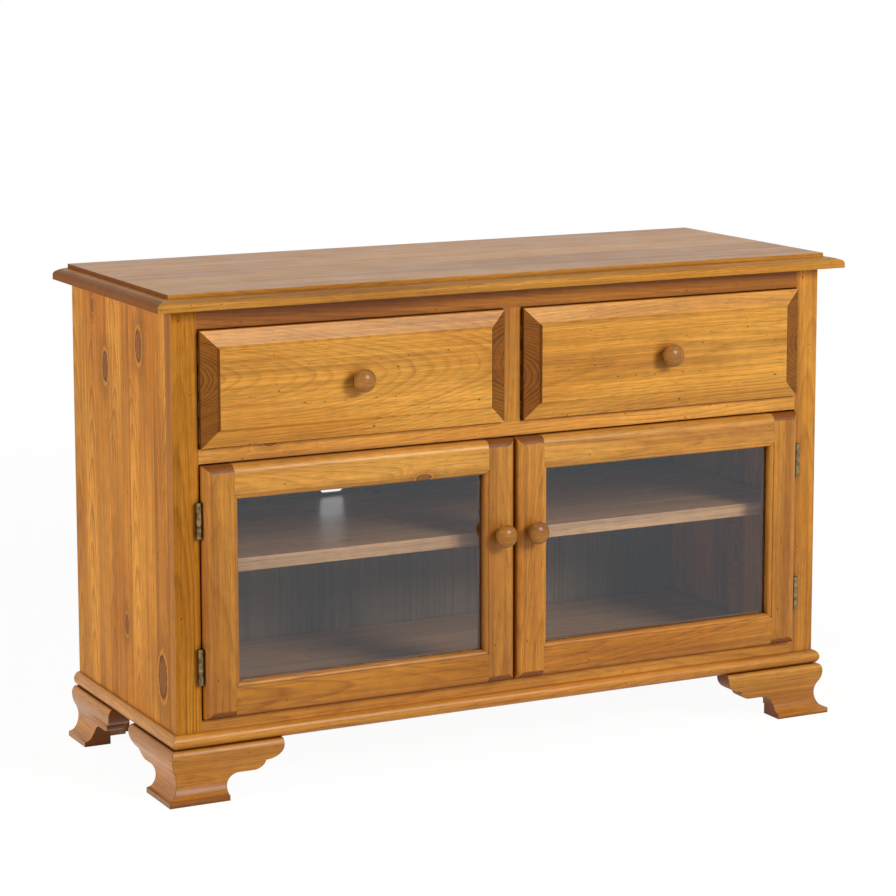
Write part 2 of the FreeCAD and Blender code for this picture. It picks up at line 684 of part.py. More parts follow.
def door_rail(outer, sight):
    """A rail between the stiles, its bead mitred against theirs."""
    root = sight - BEAD_WIDTH if sight > outer else sight + BEAD_WIDTH
    left = SIGHT_LEFT - BEAD_WIDTH
    right = SIGHT_RIGHT + BEAD_WIDTH
    outline = Outline(across(DOOR_FACE), left, outer)
    outline.line(right, outer).line(right, root).line(SIGHT_RIGHT, sight).line(SIGHT_LEFT, sight).line(left, root)
    region = outline.prism(Vector(0, DOOR_THICKNESS, 0))
    section = member_profile(lambda z, y: Vector(left, y, z), outer, sight)
    return section.prism(Vector(right - left, 0, 0)).common(region)


def door_tenons(low, high, end_gap):
    """The two tenons of a door rail, or their mortises when they are given an end gap."""
    y0 = DOOR_FACE + (DOOR_THICKNESS - DOOR_TENON_THICKNESS) / 2
    tenons = []
    for root, outward in ((SIGHT_LEFT - BEAD_WIDTH, -1), (SIGHT_RIGHT + BEAD_WIDTH, 1)):
        tip = root + outward * (DOOR_TENON_LENGTH + end_gap)
        tenons.append(slab(min(root, tip), max(root, tip), y0, y0 + DOOR_TENON_THICKNESS, low, high))
    return tenons


def hinge_heights():
    """The lower end of each hinge."""
    return (DOOR_LOW + HINGE_INSET - HINGE_HEIGHT / 2, DOOR_HIGH - HINGE_INSET - HINGE_HEIGHT / 2)


def door_leaf_plate(low):
    """The flat of a hinge leaf, flush in the edge of the left door."""
    return slab(DOOR_LEFT, DOOR_LEFT + LEAF_THICKNESS, PIN_Y, FRONT + LEAF_REACH, low, low + HINGE_HEIGHT)


def glazing():
    """The pane in its rebate, and four beads that hold it from behind."""
    left = SIGHT_LEFT - GLASS_REBATE
    right = SIGHT_RIGHT + GLASS_REBATE
    low = SIGHT_LOW - GLASS_REBATE
    high = SIGHT_HIGH + GLASS_REBATE
    gap = GLASS_CLEARANCE
    pane = slab(left + gap, right - gap, GLASS_FRONT, GLASS_BACK, low + gap, high - gap)
    beads = [
        slab(left, SIGHT_LEFT, GLASS_BACK, DOOR_BACK, low, high),
        slab(SIGHT_RIGHT, right, GLASS_BACK, DOOR_BACK, low, high),
        slab(SIGHT_LEFT, SIGHT_RIGHT, GLASS_BACK, DOOR_BACK, low, SIGHT_LOW),
        slab(SIGHT_LEFT, SIGHT_RIGHT, GLASS_BACK, DOOR_BACK, SIGHT_HIGH, high),
    ]
    return pane, beads


def build_doors():
    rebate = slab(SIGHT_LEFT - GLASS_REBATE, SIGHT_RIGHT + GLASS_REBATE, GLASS_FRONT, DOOR_BACK,
                  SIGHT_LOW - GLASS_REBATE, SIGHT_HIGH + GLASS_REBATE)
    rails = {
        "bottom_rail": (DOOR_LOW, SIGHT_LOW, DOOR_LOW + DOOR_ROUND, SIGHT_LOW - GLASS_REBATE),
        "top_rail": (DOOR_HIGH, SIGHT_HIGH, SIGHT_HIGH + GLASS_REBATE, DOOR_HIGH - DOOR_ROUND),
    }
    mortises = []
    for name, (outer, sight, tenon_low, tenon_high) in rails.items():
        rail = door_rail(outer, sight).cut(rebate).fuse(door_tenons(tenon_low, tenon_high, 0.0))
        mortises += door_tenons(tenon_low, tenon_high, TENON_END_GAP)
        add_pair("left_door_" + name, "right_door_" + name, rail.removeSplitter())
    knob_place = DOOR_RIGHT - DOOR_MEMBER_WIDTH / 2, DOOR_FACE, DOOR_LOW + DOOR_KNOB_HEIGHT
    plates = [door_leaf_plate(low) for low in hinge_heights()]
    hinge_stile = door_stile(DOOR_LEFT, SIGHT_LEFT).cut([rebate] + mortises + plates)
    lock_stile = door_stile(DOOR_RIGHT, SIGHT_RIGHT).cut([rebate] + mortises + [knob_hole(*knob_place)])
    add_pair("left_door_hinge_stile", "right_door_hinge_stile", hinge_stile)
    add_pair("left_door_lock_stile", "right_door_lock_stile", lock_stile)
    add_pair("left_door_knob", "right_door_knob", knob(*knob_place))
    pane, beads = glazing()
    add_pair("left_door_glass", "right_door_glass", pane)
    add_pair("left_door_glazing_beads", "right_door_glazing_beads", *beads)


def pin_cylinder(radius, low, high):
    return Part.makeCylinder(radius, high - low, Vector(PIN_X, PIN_Y, low))


def hinge(low):
    """One butt hinge of the left door: frame leaf, door leaf and pin."""
    high = low + HINGE_HEIGHT
    knuckle = (HINGE_HEIGHT - (KNUCKLE_COUNT - 1) * KNUCKLE_CLEARANCE) / KNUCKLE_COUNT
    middle_low = low + knuckle + KNUCKLE_CLEARANCE
    middle_high = high - knuckle - KNUCKLE_CLEARANCE
    plate = slab(-OPENING - LEAF_THICKNESS, -OPENING, PIN_Y, FRONT + LEAF_REACH, low, high)
    room = pin_cylinder(KNUCKLE_RADIUS + KNUCKLE_CLEARANCE, low + knuckle, high - knuckle)
    frame_leaf = plate.fuse(pin_cylinder(KNUCKLE_RADIUS, low, high)).removeSplitter()
    frame_leaf = frame_leaf.cut([room, pin_cylinder(PIN_RADIUS + PIN_FIT, low, high)])
    web = slab(PIN_X, DOOR_LEFT + LEAF_THICKNESS, PIN_Y, PIN_Y + LEAF_THICKNESS, middle_low, middle_high)
    barrel = pin_cylinder(KNUCKLE_RADIUS, middle_low, middle_high)
    door_leaf = door_leaf_plate(low).fuse([web, barrel]).removeSplitter()
    door_leaf = door_leaf.cut(pin_cylinder(PIN_RADIUS + PIN_RUN, low, high))
    pin = pin_cylinder(PIN_RADIUS, low + PIN_RECESS, high - PIN_RECESS)
    return frame_leaf, door_leaf, pin


def build_hinges():
    hinges = [hinge(low) for low in hinge_heights()]
    frame_leaves = [leaf for leaf, _, _ in hinges]
    pins = [pin for _, _, pin in hinges]
    add("hinge_frame_leaves", *frame_leaves, *[mirrored(leaf) for leaf in frame_leaves])
    add("hinge_pins", *pins, *[mirrored(pin) for pin in pins])
    add_pair("left_door_hinge_leaves", "right_door_hinge_leaves", *[leaf for _, leaf, _ in hinges])


def build_catches():
    """A catch under the middle rail faces a strike plate on each lock stile."""
    middle = DOOR_RIGHT - DOOR_MEMBER_WIDTH / 2
    plate_back = DOOR_BACK + STRIKE_THICKNESS
    catch = slab(middle - CATCH_WIDTH / 2, middle + CATCH_WIDTH / 2, plate_back + CATCH_GAP, FRAME_BACK,
                 Z_MIDDLE - CATCH_HEIGHT, Z_MIDDLE)
    strike = slab(middle - STRIKE_WIDTH / 2, middle + STRIKE_WIDTH / 2, DOOR_BACK, plate_back,
                  DOOR_HIGH - STRIKE_HEIGHT, DOOR_HIGH)
    add("door_catches", catch, mirrored(catch))
    add_pair("left_door_strike_plate", "right_door_strike_plate", strike)


def write_pieces():
    os.makedirs("parts", exist_ok=True)
    for name, solids in PIECES.items():
        shape = solids[0] if len(solids) == 1 else Part.makeCompound(solids)
        shape.exportStep("parts/" + name + ".step")
    print(len(PIECES), "pieces, height", Z_TOP + TOP_THICKNESS)


build_top_board()
build_carcass()
build_face_frame()
build_drawer_run()
build_base_moulding()
build_feet()
build_drawers()
build_doors()
build_hinges()
build_catches()
write_pieces()
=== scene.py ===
"""A TV stand in honey-stained pine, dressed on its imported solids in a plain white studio."""

import logging
import math
from dataclasses import dataclass, replace
from enum import Enum

import bpy
import numpy as np
from mathutils import Matrix, Vector


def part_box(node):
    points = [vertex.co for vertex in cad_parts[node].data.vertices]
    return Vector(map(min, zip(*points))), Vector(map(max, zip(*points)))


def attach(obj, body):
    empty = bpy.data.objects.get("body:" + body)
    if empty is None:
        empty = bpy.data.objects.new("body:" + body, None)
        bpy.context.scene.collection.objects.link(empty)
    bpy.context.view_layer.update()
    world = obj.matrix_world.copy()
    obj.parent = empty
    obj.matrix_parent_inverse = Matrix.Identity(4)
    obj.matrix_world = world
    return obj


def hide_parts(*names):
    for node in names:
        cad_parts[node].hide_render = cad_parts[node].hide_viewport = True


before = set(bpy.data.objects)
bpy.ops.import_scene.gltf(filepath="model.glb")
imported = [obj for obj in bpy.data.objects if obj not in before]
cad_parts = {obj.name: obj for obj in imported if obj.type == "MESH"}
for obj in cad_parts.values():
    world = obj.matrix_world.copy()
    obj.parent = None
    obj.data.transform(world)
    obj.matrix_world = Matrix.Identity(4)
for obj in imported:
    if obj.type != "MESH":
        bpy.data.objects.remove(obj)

LOG = logging.getLogger("tv_stand")
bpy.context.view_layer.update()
MM = 0.001
WHITE = (1.0, 1.0, 1.0, 1.0)

# Wider than any board, so the board is one stave.
WHOLE_BOARD = 4.0
# How many trees the boards come from.
TREES = 89
# The distance, in half widths, that stands for no knot, and a knot's width over its length.
NO_KNOT = 50.0
KNOT_SQUEEZE = 0.5
# How far the rings bend round a knot and waver by themselves, in metres.
KNOT_BEND = 0.016
RING_WAVER = 0.007
# Cells of the dents in a metre, and the height of the fibres in metres.
DENT_CELLS = 55.0
FIBRE_HEIGHT = 0.0006

Colour = tuple[float, float, float, float]
Point = tuple[float, float, float]
Pair = tuple[float, float]
Socket = bpy.types.NodeSocket


class Grain(Enum):
    """How a board is cut: the axes along its grain, across its face and through its thickness."""

    FRONT_RAIL = "XZY"
    FRONT_STILE = "ZXY"
    SIDE_BOARD = "ZYX"
    SIDE_RAIL = "YZX"
    FLAT_BOARD = "XYZ"


class Side(Enum):
    """The two sides of the stand, as the nodes name them."""

    LEFT = "left"
    RIGHT = "right"


class Graph:
    """The node tree of a material or world, with short ways to add and join its nodes."""

    def __init__(self, owner: bpy.types.Material | bpy.types.World) -> None:
        """Empties the tree.

        Args:
            owner: the new material or world.
        """
        owner.use_nodes = True
        self.owner = owner
        self.tree = owner.node_tree
        self.tree.nodes.clear()

    def feed(self, socket: Socket, value: object) -> None:
        """Links a socket to another one, or sets it to a constant.

        Args:
            socket: the input to feed.
            value: an output socket, a number, a vector or a colour.
        """
        if isinstance(value, Socket):
            self.tree.links.new(value, socket)
        else:
            socket.default_value = value

    def add(
        self, kind: str, settings: dict[str, object] | None = None, **inputs: object
    ) -> bpy.types.Node:
        """Adds a node.

        Args:
            kind: the node's type.
            settings: attributes of the node itself.
            inputs: values for its sockets, with underscores for the blanks in their names.

        Returns:
            The new node.
        """
        node = self.tree.nodes.new(kind)
        for key, value in (settings or {}).items():
            setattr(node, key, value)
        for key, value in inputs.items():
            self.feed(node.inputs[key.replace("_", " ")], value)
        return node

    def math(self, operation: str, *values: object, clamp: bool = False) -> Socket:
        """Adds a Math node.

        Args:
            operation: the node's operation.
            values: its operands, as sockets or numbers.
            clamp: whether the result is kept between 0 and 1.

        Returns:
            The result's socket.
        """
        node = self.add("ShaderNodeMath", {"operation": operation, "use_clamp": clamp})
        for socket, value in zip(node.inputs, values):
            self.feed(socket, value)
        return node.outputs[0]

    def vector(self, *values: object) -> Socket:
        """Joins three numbers or sockets in a vector."""
        node = self.add("ShaderNodeCombineXYZ")
        for socket, value in zip(node.inputs, values):
            self.feed(socket, value)
        return node.outputs[0]

    def noise(self, vector: Socket, scale: float, detail: float) -> Socket:
        """Adds soft noise between 0 and 1.

        Args:
            vector: where it is read.
            scale: its frequency.
            detail: its octaves.

        Returns:
            The noise's value.
        """
        node = self.add("ShaderNodeTexNoise", Vector=vector, Scale=scale, Detail=detail)
        return node.outputs["Fac"]

    def ramp(self, value: object, low: object, high: object, start: float, end: float) -> Socket:
        """A smooth step from one value to another.

        Args:
            value: what is stepped on.
            low: where the step begins.
            high: where it ends.
            start: the result at the beginning.
            end: the result at the end.

        Returns:
            The step's socket.
        """
        node = self.add("ShaderNodeMapRange", {"interpolation_type": "SMOOTHSTEP"})
        for socket, given in zip(node.inputs, (value, low, high, start, end)):
            self.feed(socket, given)
        return node.outputs[0]

    def mix(self, factor: object, first: object, second: object, blend: str = "MIX") -> Socket:
        """Mixes two colours.

        Args:
            factor: how much of the second is taken.
            first: the first colour.
            second: the second colour.
            blend: the way they are mixed.

        Returns:
            The mixed colour's socket.
        """
        node = self.add("ShaderNodeMix", {"data_type": "RGBA", "blend_type": blend})
        sockets = (node.inputs[0], node.inputs[6], node.inputs[7])
        for socket, given in zip(sockets, (factor, first, second)):
            self.feed(socket, given)
        return node.outputs[2]

    def blend(self, factor: object, first: bpy.types.Node, second: bpy.types.Node) -> Socket:
        """Mixes two shaders.

        Args:
            factor: how much of the second is taken.
            first: the first shader's node.
            second: the second shader's node.

        Returns:
            The mixed shader's socket.
        """
        both = self.add("ShaderNodeMixShader", Fac=factor)
        self.feed(both.inputs[1], first.outputs[0])
        self.feed(both.inputs[2], second.outputs[0])
        return both.outputs[0]

    def finish(self, shader: Socket) -> bpy.types.Material | bpy.types.World:
        """Joins the shader to the tree's output.

        Args:
            shader: the shader of the surface or the world.

        Returns:
            The finished material or world.
        """
        world = isinstance(self.owner, bpy.types.World)
        output = self.add("ShaderNodeOutputWorld" if world else "ShaderNodeOutputMaterial")
        self.feed(output.inputs["Surface"], shader)
        return self.owner


@dataclass(frozen=True)
class Knot:
    """A knot on a board's face: its place along and across it, and its half width, in metres."""

    along: float
    across: float
    size: float


@dataclass(frozen=True)
class Cut:
    """One board: its node, grain and staves, how light and glossy it is, and its knots.

    The run-out is the slope of its rings to its face, which draws them as arches.
    """

    node: str
    grain: Grain
    stave: float = WHOLE_BOARD
    tone: float = 1.0
    gloss: float = 1.0
    knots: tuple[Knot, ...] = ()
    run_out: float = 0.03

    @property
    def seed(self) -> int:
        """The number of the board's tree, from the letters of its node's name."""
        return sum((place + 3) * ord(letter) for place, letter in enumerate(self.node)) % TREES


@dataclass
class Timber:
    """The sockets that a board's material is worked out from.

    They are the distances along, across and through the board and from its stave's middle, the
    stave's number, shade and other chances, and how far a face points along the grain.
    """

    along: Socket
    across: Socket
    depth: Socket
    local: Socket
    index: Socket
    shade: Socket
    chances: bpy.types.Node
    normal: Socket
    run_out: float


@dataclass(frozen=True)
class Pine:
    """Solid pine with growth rings, knots and small dents under a satin lacquer.

    A ring is a cylinder round a pith that lies behind the board and wanders along it, so a flat cut
    shows arched figure and an edge shows straight lines. The stain goes from pale to amber, with
    streaks and a dark late wood. A face that cuts across the fibres takes the end colour by its
    share, with rings in the knot's colour, and a steep one soaks up more of that. Spacings, reaches
    and edges are in metres. A dent rarity of 2 leaves the dents out.
    """

    name: str
    pale: Colour
    dark: Colour
    amber: Colour
    streak: Colour
    knot: Colour
    end: Colour
    # The glaze colour darkens corners and joints as painted shade, partly stain gathered there on
    # stained wood.
    glaze_and_shade: Colour
    roughness: float
    specular: float = 0.3
    ring_depth: float = 0.85
    ring_spacing: float = 0.0028
    pore_depth: float = 0.3
    stave_spread: float = 0.2
    end_share: float = 0.9
    end_rings: float = 3.0
    end_soak: float = 0.0
    dent_rarity: float = 0.66
    # How far the painted corner shade reaches, in metres.
    glaze_and_shade_reach: float = 0.012
    eased_edge: float = 0.0014
    relief: float = 0.1

    def material(self, cut: Cut) -> bpy.types.Material:
        """Builds the pine of one board.

        Args:
            cut: the board.

        Returns:
            The material.
        """
        graph = Graph(bpy.data.materials.new(f"{self.name}_{cut.node}"))
        timber = self._timber(graph, cut)
        reach = self._knot_reach(graph, timber, cut.knots)
        late = self._late_wood(graph, timber, reach)
        colour = self._stain(graph, timber, late, cut.tone)
        colour = self._marks(graph, timber, reach, colour)
        sawn = graph.ramp(timber.normal, 0.08, 0.34, 0.0, self.end_share)
        colour = self._glaze_and_painted_shade(graph, self._end_grain(graph, timber, late, sawn, colour))
        return self._lacquer(graph, timber, late, sawn, colour, cut.gloss)

    def _timber(self, graph: Graph, cut: Cut) -> Timber:
        """Places a board in its tree.

        Args:
            graph: the material.
            cut: the board.

        Returns:
            Its distances, and the chances of each stave.
        """
        coordinates = graph.add("ShaderNodeTexCoord")
        place = graph.add("ShaderNodeSeparateXYZ", Vector=coordinates.outputs["Object"])
        axes = ["XYZ".index(letter) for letter in cut.grain.value]
        low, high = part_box(cut.node)
        along, across, depth = (
            graph.math("SUBTRACT", place.outputs[axis], (low[axis] + high[axis]) / 2)
            for axis in axes
        )
        phase = 0.5 if cut.stave == WHOLE_BOARD else 0.5 + 0.23 * (cut.seed % 4)
        ratio = graph.math("ADD", graph.math("DIVIDE", across, cut.stave), phase)
        index = graph.math("FLOOR", ratio)
        middle = graph.math("SUBTRACT", graph.math("FRACT", ratio), 0.5)
        local = graph.math("MULTIPLY", middle, cut.stave)
        pick = graph.vector(index, cut.seed * 1.7 + 0.3, 0.0)
        chance = graph.add("ShaderNodeTexWhiteNoise", {"noise_dimensions": "2D"}, Vector=pick)
        chances = graph.add("ShaderNodeSeparateColor", Color=chance.outputs["Color"])
        facing = graph.add("ShaderNodeSeparateXYZ", Vector=coordinates.outputs["Normal"])
        normal = graph.math("ABSOLUTE", facing.outputs[axes[0]])
        shade = chance.outputs["Value"]
        return Timber(along, across, depth, local, index, shade, chances, normal, cut.run_out)

    def _knot_reach(self, graph: Graph, timber: Timber, knots: tuple[Knot, ...]) -> Socket:
        """Distance from the nearest knot in half widths, with a torn edge.

        Args:
            graph: the material.
            timber: the board.
            knots: the board's knots.

        Returns:
            The distance, which is large where no knot is near.
        """
        nearest: object = NO_KNOT
        rough = graph.noise(graph.vector(timber.along, timber.across, 0.0), 150.0, 2.0)
        for knot in knots:
            forth = graph.math("SUBTRACT", timber.along, knot.along)
            forth = graph.math("MULTIPLY", forth, KNOT_SQUEEZE)
            aside = graph.math("SUBTRACT", timber.across, knot.across)
            square = graph.math("MULTIPLY_ADD", forth, forth, graph.math("MULTIPLY", aside, aside))
            away = graph.math("DIVIDE", graph.math("SQRT", square), knot.size)
            nearest = graph.math("MINIMUM", nearest, away)
        return graph.math("MULTIPLY_ADD", rough, 0.5, graph.math("SUBTRACT", nearest, 0.25))

    def _late_wood(self, graph: Graph, timber: Timber, reach: Socket) -> Socket:
        """The dark part of each growth ring, between 0 and 1.

        The ring's number is the distance from the pith over the spacing, and within a ring the
        late wood rises with the third power and ends sharply. Rings bend round a knot.

        Args:
            graph: the material.
            timber: the board.
            reach: the distance from the nearest knot.

        Returns:
            The late wood.
        """
        chances = timber.chances.outputs
        along = graph.math("MULTIPLY_ADD", chances[2], 9.0, timber.along)
        apart = graph.math("MULTIPLY", timber.index, 3.3)
        wander = graph.noise(graph.vector(along, apart, 0.0), 1.9, 1.0)
        slow = graph.math("MULTIPLY", along, 3.0)
        quick = graph.math("MULTIPLY", timber.across, 14.0)
        waver = graph.noise(graph.vector(slow, quick, timber.depth), 1.0, 3.0)
        pith = graph.math("MULTIPLY_ADD", chances[0], 0.06, -0.03)
        aside = graph.math("SUBTRACT", timber.local, pith)
        aside = graph.math("ADD", aside, graph.math("MULTIPLY_ADD", wander, 0.08, -0.04))
        under = graph.math("MULTIPLY_ADD", chances[1], 0.03, 0.03)
        under = graph.math("MULTIPLY_ADD", timber.along, timber.run_out, under)
        behind = graph.math("SUBTRACT", timber.depth, under)
        square = graph.math("MULTIPLY_ADD", aside, aside, graph.math("MULTIPLY", behind, behind))
        radius = graph.math("MULTIPLY_ADD", waver, RING_WAVER, graph.math("SQRT", square))
        bend = graph.math("MULTIPLY", graph.math("MULTIPLY", reach, reach), -0.16)
        radius = graph.math("MULTIPLY_ADD", graph.math("EXPONENT", bend), KNOT_BEND, radius)
        years = graph.math("DIVIDE", radius, self.ring_spacing)
        years = graph.math("ADD", years, graph.noise(graph.vector(years, 0.0, 0.0), 0.7, 1.0))
        year = graph.math("FRACT", years)
        rise = graph.math("POWER", year, 3.0)
        fall = graph.math("MULTIPLY", graph.math("SUBTRACT", 1.0, year), 6.0, clamp=True)
        season = graph.noise(graph.vector(years, along, 0.0), 0.35, 1.0)
        weight = graph.ramp(season, 0.3, 0.7, 0.35, 1.0)
        return graph.math("MULTIPLY", graph.math("MULTIPLY", rise, fall), weight)

    def _stain(self, graph: Graph, timber: Timber, late: Socket, tone: float) -> Socket:
        """The stained colour: blotches, streaks and rings, dimmed by smudges, pores and fibres.

        A darker board took more stain, so its colour is raised to a power as well as dimmed.

        Args:
            graph: the material.
            timber: the board.
            late: the late wood.
            tone: how light the board is.

        Returns:
            The colour of the face.
        """
        along = graph.math("MULTIPLY_ADD", timber.chances.outputs[2], 7.0, timber.along)

        def grainy(stretch: float, fine: float, detail: float) -> Socket:
            """Noise that is long along the grain and fine across it."""
            place = graph.vector(
                graph.math("MULTIPLY", along, stretch),
                graph.math("MULTIPLY", timber.across, fine),
                graph.math("MULTIPLY", timber.depth, fine),
            )
            return graph.noise(place, 1.0, detail)

        blotches = graph.ramp(grainy(2.2, 9.0, 2.0), 0.32, 0.7, 0.0, 1.0)
        colour = graph.mix(blotches, self.pale, self.amber)
        streaks = graph.ramp(grainy(1.4, 34.0, 3.0), 0.45, 0.78, 0.0, 0.85)
        colour = graph.mix(streaks, colour, self.streak)
        colour = graph.mix(graph.math("MULTIPLY", late, self.ring_depth), colour, self.dark)
        smudge = graph.noise(graph.vector(along, timber.across, timber.depth), 60.0, 3.0)
        spread = self.stave_spread
        shades = (
            graph.math("MULTIPLY_ADD", smudge, 0.3, 0.85),
            graph.ramp(grainy(40.0, 900.0, 2.0), 0.55, 0.7, 1.0, 1.0 - self.pore_depth),
            graph.math("MULTIPLY_ADD", grainy(2.5, 190.0, 3.0), 0.8, 0.6),
            graph.math("MULTIPLY_ADD", timber.shade, spread, 1.0 - spread / 2),
        )
        bright = graph.math("MULTIPLY_ADD", grainy(6.0, 640.0, 4.0), 0.76 * tone, 0.62 * tone)
        for shade in shades:
            bright = graph.math("MULTIPLY", bright, shade)
        deep = graph.add("ShaderNodeGamma", Color=colour, Gamma=1.8 - 0.8 * tone)
        return graph.mix(1.0, deep.outputs[0], graph.vector(bright, bright, bright), "MULTIPLY")

    def _marks(self, graph: Graph, timber: Timber, reach: Socket, colour: Socket) -> Socket:
        """Knots with their own rings, bark and a pale rim, and small dark dents knocked in by hand.

        Args:
            graph: the material.
            timber: the board.
            reach: the distance from the nearest knot.
            colour: the colour without marks.

        Returns:
            The colour with them.
        """

        def band(rise: Pair, fall: Pair, depth: float) -> Socket:
            """A ring round the knot that rises and falls between two pairs of distances."""
            inner = graph.ramp(reach, *rise, 0.0, depth)
            return graph.math("MULTIPLY", inner, graph.ramp(reach, *fall, 1.0, 0.0))

        colour = graph.mix(graph.ramp(reach, 1.0, 3.2, 0.5, 0.0), colour, self.streak)
        rings = graph.math("SINE", graph.math("MULTIPLY", reach, 17.0))
        rings = graph.math("MULTIPLY_ADD", rings, 0.13, 0.42)
        core = graph.math("MULTIPLY", graph.ramp(reach, 0.85, 1.0, 1.0, 0.0), rings)
        colour = graph.mix(core, colour, self.knot)
        colour = graph.mix(band((0.8, 0.95), (0.98, 1.1), 0.8), colour, self.knot)
        colour = graph.mix(band((1.0, 1.14), (1.16, 1.45), 0.7), colour, self.pale)
        across = graph.math("ADD", timber.across, timber.depth)
        spot = graph.vector(graph.math("MULTIPLY", timber.along, 0.5), across, 0.0)
        flat = {"voronoi_dimensions": "2D"}
        cells = graph.add("ShaderNodeTexVoronoi", flat, Vector=spot, Scale=DENT_CELLS)
        pick = graph.add("ShaderNodeSeparateColor", Color=cells.outputs["Color"])
        torn = graph.math("MULTIPLY_ADD", graph.noise(spot, 800.0, 1.0), 0.07, -0.035)
        away = graph.math("ADD", cells.outputs["Distance"], torn)
        size = graph.math("POWER", pick.outputs[1], 2.0)
        size = graph.math("MULTIPLY_ADD", size, 0.055, 0.02)
        dent = graph.ramp(away, graph.math("MULTIPLY", size, 0.45), size, 0.85, 0.0)
        crowd = graph.noise(spot, 9.0, 1.0)
        rare = graph.math("MULTIPLY_ADD", crowd, -0.9, self.dent_rarity + 0.45)
        dent = graph.math("MULTIPLY", dent, graph.math("GREATER_THAN", pick.outputs[0], rare))
        return graph.mix(dent, colour, self.knot)

    def _end_grain(
        self, graph: Graph, timber: Timber, late: Socket, sawn: Socket, colour: Socket
    ) -> Socket:
        """Darkens the faces that cut across the fibres, the more the steeper they are.

        Args:
            graph: the material.
            timber: the board.
            late: the late wood.
            sawn: how far a face cuts across the fibres.
            colour: the colour of the face.

        Returns:
            The colour with its end grain.
        """
        rings = graph.math("MULTIPLY", late, self.end_rings, clamp=True)
        end = graph.mix(rings, self.end, self.knot)
        soaked = graph.ramp(timber.normal, 0.35, 0.65, 0.0, self.end_soak)
        end = graph.mix(soaked, end, self.knot)
        return graph.mix(sawn, colour, end)

    def _glaze_and_painted_shade(self, graph: Graph, colour: Socket) -> Socket:
        """Painted shade in corners, joints and gaps, and on stained wood the stain gathered there.

        Args:
            graph: the material.
            colour: the colour without it.

        Returns:
            The colour with it.
        """
        corner = graph.add("ShaderNodeAmbientOcclusion", {"samples": 5}, Distance=self.glaze_and_shade_reach)
        corner_shade = graph.ramp(corner.outputs["AO"], 0.2, 0.9, 0.9, 0.0)
        return graph.mix(corner_shade, colour, graph.mix(1.0, colour, self.glaze_and_shade, "MULTIPLY"))

    def _lacquer(
        self, graph: Graph, timber: Timber, late: Socket, sawn: Socket, colour: Socket, gloss: float
    ) -> bpy.types.Material:
        """The lacquered surface, with eased edges and a little of the fibre's relief.

        Args:
            graph: the material.
            timber: the board.
            late: the late wood.
            sawn: how far a face cuts across the fibres, where the lacquer sinks in and is duller.
            colour: the surface's colour.
            gloss: how much of the finish's mirroring the board has.

        Returns:
            The material.
        """
        place = graph.vector(timber.along, timber.across, timber.depth)
        handled = graph.noise(place, 14.0, 2.0)
        dull = graph.math("MULTIPLY_ADD", handled, 0.16, self.roughness - 0.08)
        eased = graph.add("ShaderNodeBevel", {"samples": 4}, Radius=self.eased_edge)
        relief = graph.add(
            "ShaderNodeBump",
            Strength=self.relief,
            Distance=FIBRE_HEIGHT,
            Height=late,
            Normal=eased.outputs[0],
        )
        surface = graph.add(
            "ShaderNodeBsdfPrincipled",
            Base_Color=colour,
            Roughness=graph.math("MULTIPLY_ADD", sawn, 0.2, dull),
            Specular_IOR_Level=self.specular * gloss,
            Normal=relief.outputs[0],
        )
        return graph.finish(surface.outputs[0])


@dataclass(frozen=True)
class ClearGlass:
    """Flat window glass that lets light through unbent and mirrors a little.

    The mirroring of both faces is given to the face that light enters by, so no light is held
    inside.
    """

    name: str = "clear_glass"
    tint: Colour = (0.95, 0.96, 0.96, 1.0)
    gleam: Colour = (0.76, 0.91, 1.0, 1.0)
    ior: float = 1.68
    roughness: float = 0.02

    def material(self) -> bpy.types.Material:
        """Builds the glass, clear where it is seen straight on and mirroring at a slant."""
        graph = Graph(bpy.data.materials.new(self.name))
        leaving = graph.add("ShaderNodeNewGeometry").outputs["Backfacing"]
        slant = graph.add("ShaderNodeFresnel", IOR=self.ior).outputs[0]
        share = graph.math("MULTIPLY", slant, graph.math("SUBTRACT", 1.0, leaving))
        clear = graph.add("ShaderNodeBsdfTransparent", Color=self.tint)
        mirror = graph.add("ShaderNodeBsdfGlossy", Color=self.gleam, Roughness=self.roughness)
        return graph.finish(graph.blend(share, clear, mirror))


@dataclass(frozen=True)
class Metal:
    """A plain metal with slight uneven tarnish."""

    name: str
    bright: Colour
    tarnish: Colour
    roughness: float
    patch_scale: float = 160.0

    def material(self) -> bpy.types.Material:
        """Builds the metal."""
        graph = Graph(bpy.data.materials.new(self.name))
        coordinates = graph.add("ShaderNodeTexCoord")
        patches = graph.noise(coordinates.outputs["Object"], self.patch_scale, 3.0)
        colour = graph.mix(graph.ramp(patches, 0.35, 0.7, 0.0, 1.0), self.bright, self.tarnish)
        surface = graph.add(
            "ShaderNodeBsdfPrincipled", Base_Color=colour, Metallic=1.0, Roughness=self.roughness
        )
        return graph.finish(surface.outputs[0])


